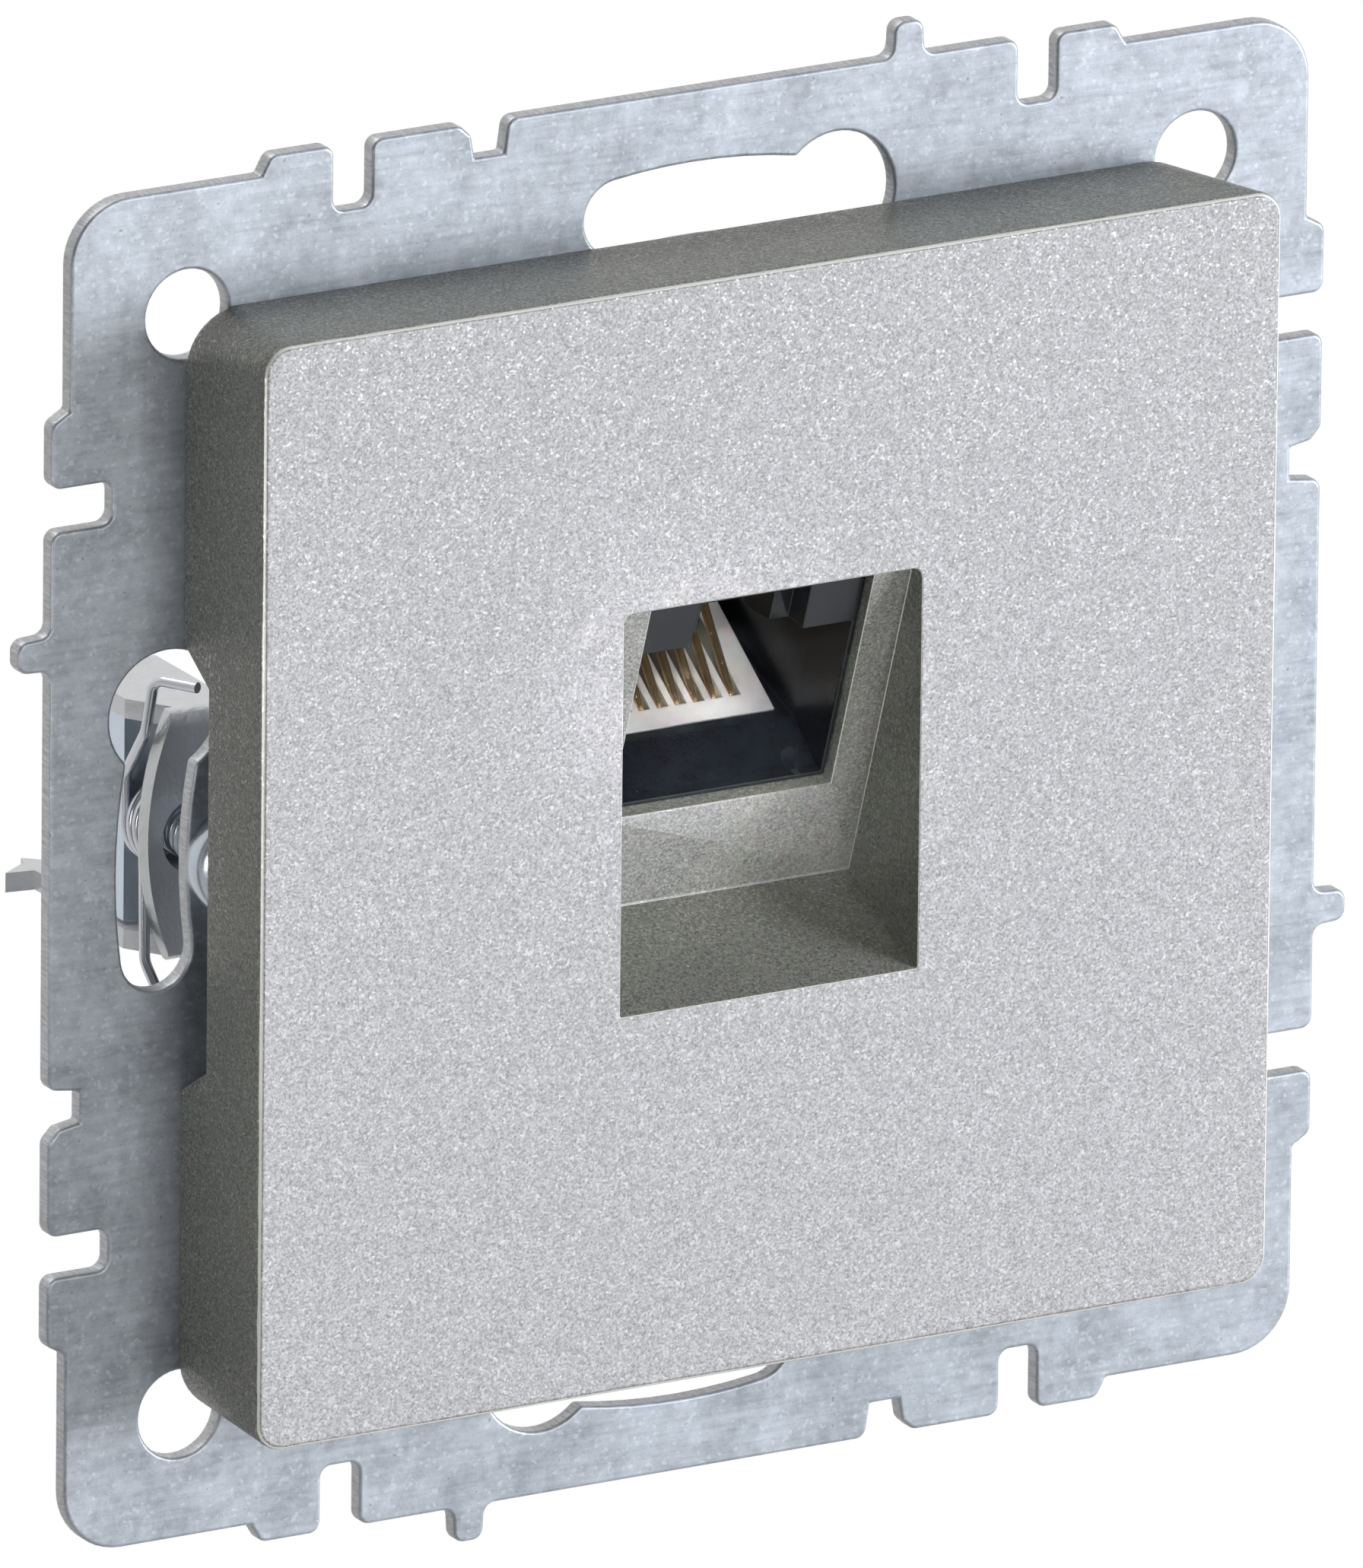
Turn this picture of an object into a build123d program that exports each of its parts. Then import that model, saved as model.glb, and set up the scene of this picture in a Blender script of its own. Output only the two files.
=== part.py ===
from build123d import *
import math
import os

# Ethernet wall socket, flush mounted: the insert of a wall outlet without its
# outer frame. Millimetres. X runs right and Z up as one faces the wall, and Y
# runs into the wall. The origin is the middle of the strap on its rear face,
# which lies on the wall.

# Support strap
strap_thickness = 1.0
strap_half = 35.5
strap_corner_half = 34.5
strap_corner_radius = 3.2
deep_notch_floor = 32.15
small_notch_floor = 33.75
frame_pin_top = 37.3
edge_rounding = 0.6
strap_opening_width = 37.0
strap_opening_height = 42.0
strap_opening_radius = 3.0
box_screw_radius = 29.85
box_slot_width = 3.85
box_slot_start = -4.2
box_slot_end = 6.4
box_slot_bulge_x = 7.95
box_slot_bulge_z = 29.0
box_slot_bulge_radius = 3.2
corner_hole_half = 28.1
corner_hole_radius = 2.25

# Front cover
cover_height = 8.2
cover_front_width = 56.6
cover_front_tall = 56.3
cover_front_rise = 0.5
cover_rim_size = 56.4
cover_front_radius = 1.4
cover_rim_radius = 3.0
cover_wall = 1.6
cover_plate = 1.3
cover_edge_rounding = 0.3
window_width = 16.6
window_bottom = -8.4
window_top = 12.2
window_radius = 0.5
recess_wall = 1.15
recess_floor_angle = 24.9
side_cut_height = 22.8
side_cut_inner_height = 19.6
side_cut_depth = 2.6
cover_leg_x = 14.5
cover_leg_z = 24.3
cover_leg_width = 5.0
cover_leg_thickness = 1.3
cover_leg_hook = 0.7

# Port: the jack's mouth on the tilted wall of the recess
port_tilt = 18.9
port_y = -5.72
port_z = 4.7
port_hole_width = 12.4
port_hole_bottom = -5.0
port_hole_top = 7.6

# Jack housing, in the port's own directions
jack_front = recess_wall + 0.1
flange_width = 16.4
flange_bottom = -7.0
flange_top = 8.3
flange_thickness = 1.5
housing_width = 14.6
housing_bottom = -6.4
housing_top = 7.6
housing_depth = 15.75
lip_front = 0.6
lip_width = 12.2
lip_bottom = -4.87
lip_top = 7.5
mouth_width = 11.76
mouth_bottom = -4.6
mouth_top = 4.4
mouth_depth = 0.6
lead_in_depth = 2.7
cavity_width = 11.7
cavity_height = 7.1
cavity_depth = 14.15
latch_relief_width = 6.2
latch_relief_height = 3.4
latch_relief_depth = 1.4
latch_slot_width = 4.0
latch_slot_height = 2.8
latch_slot_depth = 8.75
latch_notch_height = 2.0
latch_notch_start = 4.5

# Contact insert and spring contacts
insert_width = 10.4
insert_bottom = -5.4
insert_front = 4.65
insert_slope = 14.8
insert_wall_front = 11.35
insert_wall_back = 13.65
insert_wall_top = 2.6
insert_clearance = 0.1
contact_count = 8
contact_pitch = 1.016
contact_diameter = 0.46
contact_slot_width = 0.64
contact_slot_front = 5.75
contact_row = -4.35
contact_fold = 4.95
contact_angle = 35.0
contact_reach = 7.3
contact_bend = 0.5
contact_tail = 0.9

# Board and terminal blocks
board_gap = 0.1
board_thickness = 1.6
board_width = 18.4
board_bottom = -8.8
board_top = 7.8
board_hole = 0.62
block_x = 6.3
block_width = 4.6
block_bottom = -8.2
block_top = 7.0
block_depth = 8.8
block_slot = 1.1
block_slot_depth = 6.2
block_pitch = 3.6
idc_width = 2.4
idc_thickness = 0.5
idc_length = 7.4
idc_gap = 0.34
idc_gap_depth = 4.6
idc_clearance = 0.08
idc_pin_width = 0.5
cap_wall = 0.9
cap_clearance = 0.12
cap_depth = 4.6

# Jack carrier
carrier_width = 38.0
carrier_height = 45.0
carrier_thickness = 2.0
carrier_radius = 2.5
carrier_rim_width = 1.2
carrier_rim_height = 1.4
carrier_rib_width = 1.2
carrier_rib_reach = 15.5
carrier_rib_depth = 6.5
carrier_rib_heights = [1.5, 9.0]
collar_clearance = 0.2
collar_height = 1.6
collar_wall = 1.5
tube_clearance = 0.1
tube_wall = 1.5
tube_depth = 10.6
hook_x = 8.0
hook_width = 6.0
hook_overhang = 0.6

# Claw mechanism, given for the left side
screw_x = -25.1
screw_diameter = 2.9
screw_head_diameter = 5.9
screw_head_height = 1.9
screw_length = 16.0
screw_pitch = 0.5
screw_fit = 0.1
claw_sheet = 1.0
claw_front = 3.0
claw_half_height = 6.4
claw_tip_x = -26.5
claw_bulge_x = -27.9
claw_hole_diameter = 4.0
claw_pivot_x = -18.6
claw_tab_end_x = -17.6
claw_tab_half_height = 2.5
claw_ear_inner_x = -22.9
claw_ear_front_x = -26.0
claw_ear_outer_x = -27.5
claw_ramp_length = 2.2
claw_ear_length = 9.0
claw_toe_length = 14.2
claw_toe_reach = 1.6
claw_toe_neck = 5.7
claw_toe_barbs = [(0.5, 3.7), (0.5, 2.0), (-1.0, 1.75), (0.1, 1.0), (0.6, 0.7), (0.8, 0), (1.6, 0.7)]
nut_gap = 0.1
nut_thickness = 2.0
nut_width = 4.2
nut_ear_clearance = 0.2
spring_wire = 0.55
spring_radius = 2.2
spring_turns = 3
spring_pitch = 0.6
spring_gap = 0.3
spring_leg_x = -27.5
spring_leg_end = 8.1
spring_lead = 2.4
spring_bend = 1.2
boss_outer_x = -20.3
boss_inner_x = -16.6
boss_half_height = 4.6
boss_depth = 6.6
tab_slot_length = 3.2
tab_slot_height_play = 0.4
tab_slot_front_play = 0.6
tab_slot_back_play = 0.5

strap_front = -strap_thickness
cover_front = strap_front - cover_height
spring_front = claw_front + claw_sheet + spring_gap
spring_back = spring_front + spring_turns * spring_pitch + spring_wire
nut_front = spring_back + nut_gap
board_front = housing_depth + board_gap
board_back = board_front + board_thickness
tilt = math.radians(port_tilt)

WALL = Plane.XZ
SIDE = Plane(origin=(0, 0, 0), x_dir=(0, 1, 0), z_dir=(1, 0, 0))
PORT = Plane(
    origin=(0, port_y, port_z),
    x_dir=(1, 0, 0),
    z_dir=(0, -math.cos(tilt), -math.sin(tilt)),
)
PORT_SIDE = PORT * Plane(origin=(0, 0, 0), x_dir=(0, 0, -1), z_dir=(1, 0, 0))
PORT_AXIS = Axis((0, port_y, port_z), (0, -math.cos(tilt), -math.sin(tilt)))


def wall_plate(face, front, back):
    """Sketch in the plane of the wall, as a plate between two Y values."""
    return Pos(0, back, 0) * extrude(WALL * face, amount=back - front)


def port_box(width, low, high, front, back, middle=0.0):
    """Block in the port's own directions: across, up and into the jack."""
    size = Box(width, high - low, back - front)
    return PORT * Pos(middle, (low + high) / 2, -(front + back) / 2) * size


def other_side(piece):
    """The right side is the left one turned half round about Y."""
    return Rot(0, 180, 0) * piece


def strap_side():
    """One side of the strap clockwise: along the side, outward, rounding."""
    top = strap_half
    small = edge_rounding
    return [
        (-24.05, strap_corner_half, 0),
        (-23.5, top, small),
        (-20.05, top, small),
        (-20.05, deep_notch_floor, small),
        (-17.95, deep_notch_floor, small),
        (-17.95, top, small),
        (-13.1, top, small),
        (-12.45, top - 0.6, 0),
        (-12.25, small_notch_floor, 0),
        (-10.65, small_notch_floor, 0),
        (-10.4, top, small),
        (11.0, top, small),
        (11.1, frame_pin_top, small),
        (12.7, frame_pin_top, small),
        (12.8, top, small),
        (18.05, top, small),
        (18.05, deep_notch_floor, small),
        (20.2, deep_notch_floor, small),
        (20.2, top, small),
        (23.5, top, small),
        (24.1, strap_corner_half, 0),
        (strap_corner_half, strap_corner_half, strap_corner_radius),
    ]


def strap_outline():
    """The four sides are the same side turned by quarter turns."""
    points = []
    rounding = {}
    for quarter in range(4):
        for along, outward, radius in strap_side():
            spot = Vector(along, outward).rotate(Axis.Z, -90 * quarter)
            points.append((spot.X, spot.Y))
            rounding[round(spot.X, 2), round(spot.Y, 2)] = radius
    outline = make_face(Polyline(*points, close=True))
    for radius in (strap_corner_radius, edge_rounding):
        chosen = []
        for corner in outline.vertices():
            if rounding.get((round(corner.X, 2), round(corner.Y, 2))) == radius:
                chosen.append(corner)
        outline = fillet(chosen, radius)
    return outline


def box_screw_slot():
    """Curved keyhole for a box screw, round the strap's middle."""
    start = math.degrees(math.acos(box_slot_end / box_screw_radius))
    end = math.degrees(math.acos(box_slot_start / box_screw_radius))
    slot = SlotArc(CenterArc((0, 0), box_screw_radius, start, end - start), box_slot_width)
    bulge = Pos(box_slot_bulge_x, box_slot_bulge_z) * Circle(box_slot_bulge_radius)
    return slot + bulge


def support_strap():
    """Flat stamping with frame tabs, box-screw keyholes and a middle opening."""
    face = strap_outline()
    face -= RectangleRounded(strap_opening_width, strap_opening_height, strap_opening_radius)
    slot = box_screw_slot()
    for quarter in range(4):
        face -= Rot(0, 0, 90 * quarter) * slot
    for x in (-corner_hole_half, corner_hole_half):
        for z in (-corner_hole_half, corner_hole_half):
            face -= Pos(x, z) * Circle(corner_hole_radius)
    for x in (-screw_x, screw_x):
        face -= Pos(x, 0) * Circle(screw_diameter / 2 + screw_fit)
    leg_hole = Rectangle(cover_leg_width + 0.4, cover_leg_thickness + cover_leg_hook + 0.4)
    for x in (-cover_leg_x, cover_leg_x):
        for z in (-cover_leg_z, cover_leg_z):
            face -= Pos(x, z) * leg_hole
    return wall_plate(face, strap_front, 0)


def recess_profile(grow):
    """Side view of the recess as (Y, Z), grown by a wall thickness."""
    rise = math.tan(math.radians(recess_floor_angle))
    wall_slope = math.tan(tilt)
    wall_shift = grow / math.cos(tilt)
    floor_shift = grow / math.cos(math.radians(recess_floor_angle))
    floor_front = window_bottom - floor_shift
    base_y = port_y + port_z * wall_slope + wall_shift
    corner_y = (base_y - wall_slope * (floor_front - rise * cover_front)) / (1 + wall_slope * rise)
    corner_z = floor_front + rise * (corner_y - cover_front)
    top_z = window_top + grow
    top_y = base_y - wall_slope * top_z
    return [
        (cover_front, floor_front),
        (corner_y, corner_z),
        (top_y, top_z),
        (cover_front, top_z),
    ]


def recess_block(width, grow):
    face = SIDE * make_face(Polyline(*recess_profile(grow), close=True))
    return extrude(face, amount=width / 2, both=True)


def cover_shell(shrink, front, back):
    """Square shell whose corners open out from the front to the rim."""
    small = RectangleRounded(
        cover_front_width - 2 * shrink,
        cover_front_tall - 2 * shrink,
        max(cover_front_radius - shrink, 0.4),
    )
    large = RectangleRounded(
        cover_rim_size - 2 * shrink,
        cover_rim_size - 2 * shrink,
        cover_rim_radius - shrink,
    )
    near = Pos(0, front, cover_front_rise) * (WALL * small)
    far = Pos(0, back, 0) * (WALL * large)
    return loft([near, far])


def cover_leg():
    """Snap leg that passes the strap and hooks behind it, for the top edge."""
    low = cover_leg_z - cover_leg_thickness / 2 - cover_leg_hook / 2
    high = low + cover_leg_thickness
    tip = high + cover_leg_hook
    inside = cover_front + cover_plate
    profile = [
        (inside - 0.2, low),
        (inside - 0.2, high),
        (0.15, high),
        (0.15, tip),
        (0.6, tip),
        (1.9, high - 0.3),
        (1.9, low),
    ]
    face = SIDE * make_face(Polyline(*profile, close=True))
    return extrude(face, amount=cover_leg_width / 2, both=True)


def front_cover():
    """Moulded cover with the tilted port recess and four snap legs."""
    cover = cover_shell(0, cover_front, strap_front)
    front_edges = cover.edges().filter_by_position(Axis.Y, cover_front - 0.01, cover_front + 0.01)
    cover = fillet(front_edges, cover_edge_rounding)
    cover -= cover_shell(cover_wall, cover_front + cover_plate, strap_front)
    cut = [
        (strap_front, -side_cut_height / 2),
        (strap_front - side_cut_depth, -side_cut_inner_height / 2),
        (strap_front - side_cut_depth, side_cut_inner_height / 2),
        (strap_front, side_cut_height / 2),
    ]
    cut_face = SIDE * make_face(Polyline(*cut, close=True))
    cover -= extrude(cut_face, amount=cover_rim_size, both=True)
    cover += recess_block(window_width + 2 * recess_wall, recess_wall)
    for x in (-cover_leg_x, cover_leg_x):
        leg = Pos(x, 0, 0) * cover_leg()
        cover += leg
        cover += mirror(leg, Plane.XY)
    hollow = recess_block(window_width, 0)
    long_edges = hollow.edges().filter_by(Axis.Y)
    cover -= fillet(long_edges, window_radius)
    cover -= port_box(port_hole_width, port_hole_bottom, port_hole_top, -4.0, 3.0)
    return cover


def jack_housing():
    """Black jack body: lead-in, cavity, latch notch and the insert's pocket."""
    body = port_box(housing_width, housing_bottom, housing_top, jack_front, housing_depth)
    body = fillet(body.edges().filter_by(PORT_AXIS), 0.5)
    flange = port_box(flange_width, flange_bottom, flange_top, jack_front, jack_front + flange_thickness)
    body += fillet(flange.edges().filter_by(PORT_AXIS), 0.8)
    body += port_box(lip_width, lip_bottom, lip_top, lip_front, jack_front + 0.1)
    half = cavity_height / 2
    mouth = lip_front + mouth_depth
    body -= port_box(cavity_width, -half, half, lip_front - 0.1, cavity_depth)
    body -= port_box(mouth_width, mouth_bottom, mouth_top, lip_front - 0.1, mouth)
    opening = Pos(0, (mouth_bottom + mouth_top) / 2, -mouth)
    wide = opening * Rectangle(mouth_width, mouth_top - mouth_bottom)
    narrow = Pos(0, 0, -mouth - lead_in_depth) * Rectangle(cavity_width, cavity_height)
    body -= loft([PORT * wide, PORT * narrow])
    relief_top = half + latch_relief_height
    relief_back = lip_front + latch_relief_depth
    body -= port_box(latch_relief_width, 0, relief_top, lip_front - 0.1, relief_back)
    slot_top = half + latch_slot_height
    body -= port_box(latch_slot_width, 0, slot_top, lip_front - 0.1, latch_slot_depth)
    notch_top = half + latch_notch_height
    body -= port_box(latch_relief_width, 0, notch_top, latch_notch_start, cavity_depth - 1.5)
    pocket_width = insert_width + 2 * insert_clearance
    pocket_bottom = insert_bottom - insert_clearance
    pocket_front = insert_front - insert_clearance
    body -= port_box(pocket_width, pocket_bottom, 0, pocket_front, housing_depth + 1)
    back_top = insert_wall_top + insert_clearance
    body -= port_box(pocket_width, 0, back_top, cavity_depth - 1, housing_depth + 1)
    return body


def contact_places():
    return [(i - (contact_count - 1) / 2) * contact_pitch for i in range(contact_count)]


def contact_insert():
    """White moulding under the contacts: a ramp, eight slots and a comb wall."""
    rise = math.tan(math.radians(insert_slope))
    ramp_low = -cavity_height / 2
    ramp_high = ramp_low + rise * (insert_wall_front - insert_front)
    profile = [
        (insert_front, insert_bottom),
        (insert_front, ramp_low),
        (insert_wall_front, ramp_high),
        (insert_wall_front, insert_wall_top),
        (insert_wall_back, insert_wall_top),
        (insert_wall_back, ramp_high),
        (housing_depth, ramp_high),
        (housing_depth, insert_bottom),
    ]
    face = PORT_SIDE * make_face(Polyline(*profile, close=True))
    insert = extrude(face, amount=insert_width / 2, both=True)
    slot_bottom = contact_row - contact_slot_width / 2
    for x in contact_places():
        insert -= port_box(
            contact_slot_width,
            slot_bottom,
            insert_wall_top + 0.1,
            contact_slot_front,
            housing_depth + 0.1,
            middle=x,
        )
    return insert


def contact_wire():
    """One spring wire: from the board forward, folded back and upward."""
    rise = math.tan(math.radians(contact_angle))
    end = contact_fold + contact_reach
    points = [
        (board_back + contact_tail, contact_row),
        (contact_fold, contact_row),
        (end, contact_row + rise * contact_reach),
        (end + 0.9, contact_row + rise * contact_reach + 0.25),
    ]
    path = PORT_SIDE * FilletPolyline(*points, radius=[contact_bend, contact_bend])
    start = path @ 0
    along = path % 0
    section_plane = Plane(origin=start, x_dir=(1, 0, 0), z_dir=along)
    return sweep(section_plane * Circle(contact_diameter / 2), path=path)


def spring_contacts():
    wire = contact_wire()
    return Compound(children=[Pos(x, 0, 0) * wire for x in contact_places()])


def block_rows():
    middle = (block_bottom + block_top) / 2
    return [middle + (i - 1.5) * block_pitch for i in range(4)]


def jack_board():
    """Circuit board behind the jack, drilled for the contacts' tails."""
    board = port_box(board_width, board_bottom, board_top, board_front, board_back)
    board = fillet(board.edges().filter_by(PORT_AXIS), 0.6)
    drill = Cylinder(board_hole / 2, board_thickness + 1)
    for x in contact_places():
        board -= PORT * Pos(x, contact_row, -(board_front + board_back) / 2) * drill
    for x in (-block_x, block_x):
        for height in block_rows():
            board -= PORT * Pos(x, height, -(board_front + board_back) / 2) * drill
    return board


def idc_block(x):
    """Terminal block: four wire slots across it and a pocket for each contact."""
    back = board_back + block_depth
    block = port_box(block_width, block_bottom, block_top, board_back, back, middle=x)
    crown = block.edges().group_by(SortBy.LENGTH)[-1]
    rear = [e for e in crown if PORT.to_local_coords(e.center()).Z < -back + 0.1]
    block = chamfer(rear, 0.8)
    pocket_width = idc_width + 2 * idc_clearance
    pocket_thickness = idc_thickness + 2 * idc_clearance
    slot_floor = back - block_slot_depth
    for height in block_rows():
        low = height - block_slot / 2
        block -= port_box(block_width + 1, low, low + block_slot, slot_floor, back + 1, middle=x)
        half = pocket_width / 2
        block -= port_box(
            pocket_thickness,
            height - half,
            height + half,
            board_back - 0.1,
            board_back + idc_length + 0.2,
            middle=x,
        )
    return block


def idc_contacts(x):
    """Four forked blades that cut through a conductor's insulation."""
    blades = []
    top = board_back + idc_length
    for height in block_rows():
        half = idc_width / 2
        blade = port_box(idc_thickness, height - half, height + half, board_back + 0.1, top, middle=x)
        gap = idc_gap / 2
        blade -= port_box(1.0, height - gap, height + gap, top - idc_gap_depth, top + 1, middle=x)
        pin = idc_pin_width / 2
        blade += port_box(
            idc_thickness * 0.8,
            height - pin * 0.8,
            height + pin * 0.8,
            board_front + 0.05,
            board_back + 0.2,
            middle=x,
        )
        blades.append(blade)
    return Compound(children=blades)


def idc_cap(x):
    """Pressed-on cap that holds the conductors down over one block."""
    grow = cap_clearance + cap_wall
    back = board_back + block_depth
    front = back - cap_depth
    outer = port_box(
        block_width + 2 * grow,
        block_bottom - grow,
        block_top + grow,
        front,
        back + grow,
        middle=x,
    )
    outer = fillet(outer.edges().filter_by(PORT_AXIS), 0.6)
    inner = port_box(
        block_width + 2 * cap_clearance,
        block_bottom - cap_clearance,
        block_top + cap_clearance,
        front - 0.1,
        back + cap_clearance,
        middle=x,
    )
    cap = outer - inner
    for height in block_rows():
        low = height - block_slot / 2
        cap -= port_box(
            block_width + 4 * grow,
            low,
            low + block_slot,
            front - 0.1,
            front + 2.6,
            middle=x,
        )
    return cap


def carrier_rib(height):
    """Gusset between the carrier's plate and the left of the jack's tube."""
    inner = housing_width / 2 + tube_clearance + tube_wall / 2
    front = carrier_thickness - 0.1
    outline = [(-inner, front), (-inner, carrier_rib_depth), (-carrier_rib_reach, front)]
    face = Plane.XY * make_face(Polyline(*outline, close=True))
    return Pos(0, 0, height) * extrude(face, amount=carrier_rib_width / 2, both=True)


def jack_carrier():
    """Moulded frame behind the strap: it holds the jack and the claws' tabs."""
    plate = RectangleRounded(carrier_width, carrier_height, carrier_radius)
    carrier = wall_plate(plate, 0, carrier_thickness)
    rim = plate - RectangleRounded(
        carrier_width - 2 * carrier_rim_width,
        carrier_height - 2 * carrier_rim_width,
        carrier_radius - carrier_rim_width,
    )
    carrier += wall_plate(rim, carrier_thickness - 0.1, carrier_thickness + carrier_rim_height)
    for height in carrier_rib_heights:
        rib = carrier_rib(height)
        carrier += rib
        carrier += mirror(rib, Plane.YZ)
    collar_width = strap_opening_width - 2 * collar_clearance
    collar_size = strap_opening_height - 2 * collar_clearance
    collar_radius = strap_opening_radius - collar_clearance
    collar = RectangleRounded(collar_width, collar_size, collar_radius)
    collar -= RectangleRounded(
        collar_width - 2 * collar_wall,
        collar_size - 2 * collar_wall,
        collar_radius - collar_wall,
    )
    carrier += wall_plate(collar, strap_front - collar_height, 0.1)
    hook_z = collar_size / 2
    hook = [
        (strap_front - collar_height, hook_z - 0.2),
        (strap_front - 0.1, hook_z - 0.2),
        (strap_front - 0.1, hook_z + collar_clearance + hook_overhang),
        (strap_front - collar_height, hook_z),
    ]
    hook_face = SIDE * make_face(Polyline(*hook, close=True))
    hook_solid = extrude(hook_face, amount=hook_width / 2, both=True)
    for x in (-hook_x, hook_x):
        carrier += Pos(x, 0, 0) * hook_solid
        carrier += mirror(Pos(x, 0, 0) * hook_solid, Plane.XY)
    inner = tube_clearance
    grow = tube_clearance + tube_wall
    tube_front = jack_front + flange_thickness + 0.1
    carrier += port_box(
        housing_width + 2 * grow,
        housing_bottom - grow,
        housing_top + grow,
        tube_front,
        tube_front + tube_depth,
    )
    boss_place = Pos((boss_outer_x + boss_inner_x) / 2, boss_depth / 2, 0)
    boss = boss_place * Box(boss_inner_x - boss_outer_x, boss_depth, 2 * boss_half_height)
    slot_front = claw_front - tab_slot_front_play
    slot_back = claw_front + claw_sheet + tab_slot_back_play
    slot_place = Pos(boss_outer_x + tab_slot_length / 2 - 0.2, (slot_front + slot_back) / 2, 0)
    slot_height = 2 * claw_tab_half_height + tab_slot_height_play
    slot = slot_place * Box(tab_slot_length, slot_back - slot_front, slot_height)
    carrier += boss
    carrier += other_side(boss)
    carrier -= slot
    carrier -= other_side(slot)
    carrier -= port_box(
        housing_width + 2 * inner,
        housing_bottom - inner,
        housing_top + inner,
        jack_front,
        housing_depth,
    )
    recess_clear = recess_block(window_width + 2 * recess_wall + 0.6, recess_wall + 0.3)
    carrier -= recess_clear
    return carrier


def claw():
    """Folded claw: front plate with its screw hole, two ears and one toe."""
    back = claw_front + claw_sheet
    bow = ThreePointArc(
        (claw_tip_x, claw_half_height),
        (claw_bulge_x, 0),
        (claw_tip_x, -claw_half_height),
    )
    inner_top = (claw_ear_inner_x, claw_half_height)
    inner_low = (claw_ear_inner_x, -claw_half_height)
    tab = claw_tab_half_height
    edge = Polyline(
        (claw_tip_x, -claw_half_height),
        inner_low,
        (claw_ear_inner_x + 1.6, -tab),
        (claw_tab_end_x, -tab),
        (claw_tab_end_x, tab),
        (claw_ear_inner_x + 1.6, tab),
        inner_top,
        (claw_tip_x, claw_half_height),
    )
    face = make_face([bow, edge])
    face -= Pos(screw_x, 0) * Circle(claw_hole_diameter / 2)
    body = wall_plate(face, claw_front, back)
    body += ear(claw_half_height - claw_sheet, claw_ear_length, 0)
    body += ear(-claw_half_height, claw_toe_length, claw_toe_reach)
    bends = body.edges().filter_by(Axis.X)
    outer = [
        e
        for e in bends
        if abs(e.center().Y - claw_front) < 0.01 and abs(abs(e.center().Z) - claw_half_height) < 0.01
    ]
    return fillet(outer, claw_sheet * 0.8)


def ear(bottom, length, toe):
    """Ear folded back from the plate; its outer edge slants like a ramp."""
    back = claw_front + claw_sheet
    end = back + length
    points = [
        (claw_ear_inner_x, back - 0.1),
        (claw_ear_front_x, back - 0.1),
        (claw_ear_outer_x, back + claw_ramp_length),
    ]
    if toe:
        points.append((claw_ear_outer_x, end - claw_toe_neck))
        for inward, short in claw_toe_barbs:
            points.append((claw_ear_outer_x + inward, end - short))
        points.append((claw_ear_inner_x - toe, end))
    else:
        points += [
            (claw_ear_outer_x, end - 1.5),
            (claw_ear_outer_x + 1.5, end),
        ]
    points.append((claw_ear_inner_x, end - 1.5))
    face = Plane.XY * make_face(Polyline(*points, close=True))
    return Pos(0, 0, bottom) * extrude(face, amount=claw_sheet)


def claw_screw():
    """Pan-head screw with a cross recess, through the strap and the claw."""
    head = Cylinder(screw_head_diameter / 2, screw_head_height)
    head = fillet(head.edges().group_by(Axis.Z)[-1], 1.0)
    recess = Box(3.4, 0.75, 1.3) + Box(0.75, 3.4, 1.3)
    head -= Pos(0, 0, screw_head_height / 2 - 0.6) * recess
    head = Pos(0, 0, screw_head_height / 2) * head
    shank = Cylinder(screw_diameter / 2, screw_length)
    shank = chamfer(shank.edges().group_by(Axis.Z)[0], 0.4)
    screw = head + Pos(0, 0, -screw_length / 2) * shank
    return Pos(screw_x, strap_front, 0) * Rot(90, 0, 0) * screw


def claw_nut():
    """Threaded plate between the ears, which keep it from turning."""
    height = 2 * (claw_half_height - claw_sheet - nut_ear_clearance)
    face = Rectangle(nut_width, height) - Circle(screw_diameter / 2 + screw_fit / 2)
    nut = wall_plate(Pos(screw_x, 0) * face, nut_front, nut_front + nut_thickness)
    return nut


def claw_spring():
    """Return spring: a close coil round the screw and two legs that brace it.

    Its own directions are outward from the screw, up, and into the wall.
    """
    rise = spring_turns * spring_pitch
    slope = spring_pitch / (2 * math.pi * spring_radius)
    out = screw_x - spring_leg_x
    past_ear = claw_front + claw_sheet - spring_front - spring_wire / 2
    lead = spring_lead
    coil = Helix(pitch=spring_pitch, height=rise, radius=spring_radius)
    lower = FilletPolyline(
        (out - 0.3, -spring_leg_end, past_ear - 1.2),
        (out, -claw_half_height, past_ear),
        (spring_radius, -lead, -slope * lead),
        (spring_radius, 0, 0),
        radius=[spring_bend, spring_bend],
    )
    upper = FilletPolyline(
        (spring_radius, 0, rise),
        (spring_radius, lead, rise + slope * lead),
        (out, claw_half_height - claw_sheet, past_ear),
        (out - 0.2, spring_leg_end, past_ear - 0.4),
        (out - 1.3, spring_leg_end + 0.1, past_ear - 2.8),
        radius=[spring_bend, spring_bend, 0.7],
    )
    path = Wire([*lower.edges(), *coil.edges(), *upper.edges()])
    section_plane = Plane(origin=lower @ 0, z_dir=lower % 0)
    wire = sweep(section_plane * Circle(spring_wire / 2), path=path)
    place = Plane(
        origin=(screw_x, spring_front + spring_wire / 2, 0),
        x_dir=(-1, 0, 0),
        z_dir=(0, 1, 0),
    )
    return place * wire


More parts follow.
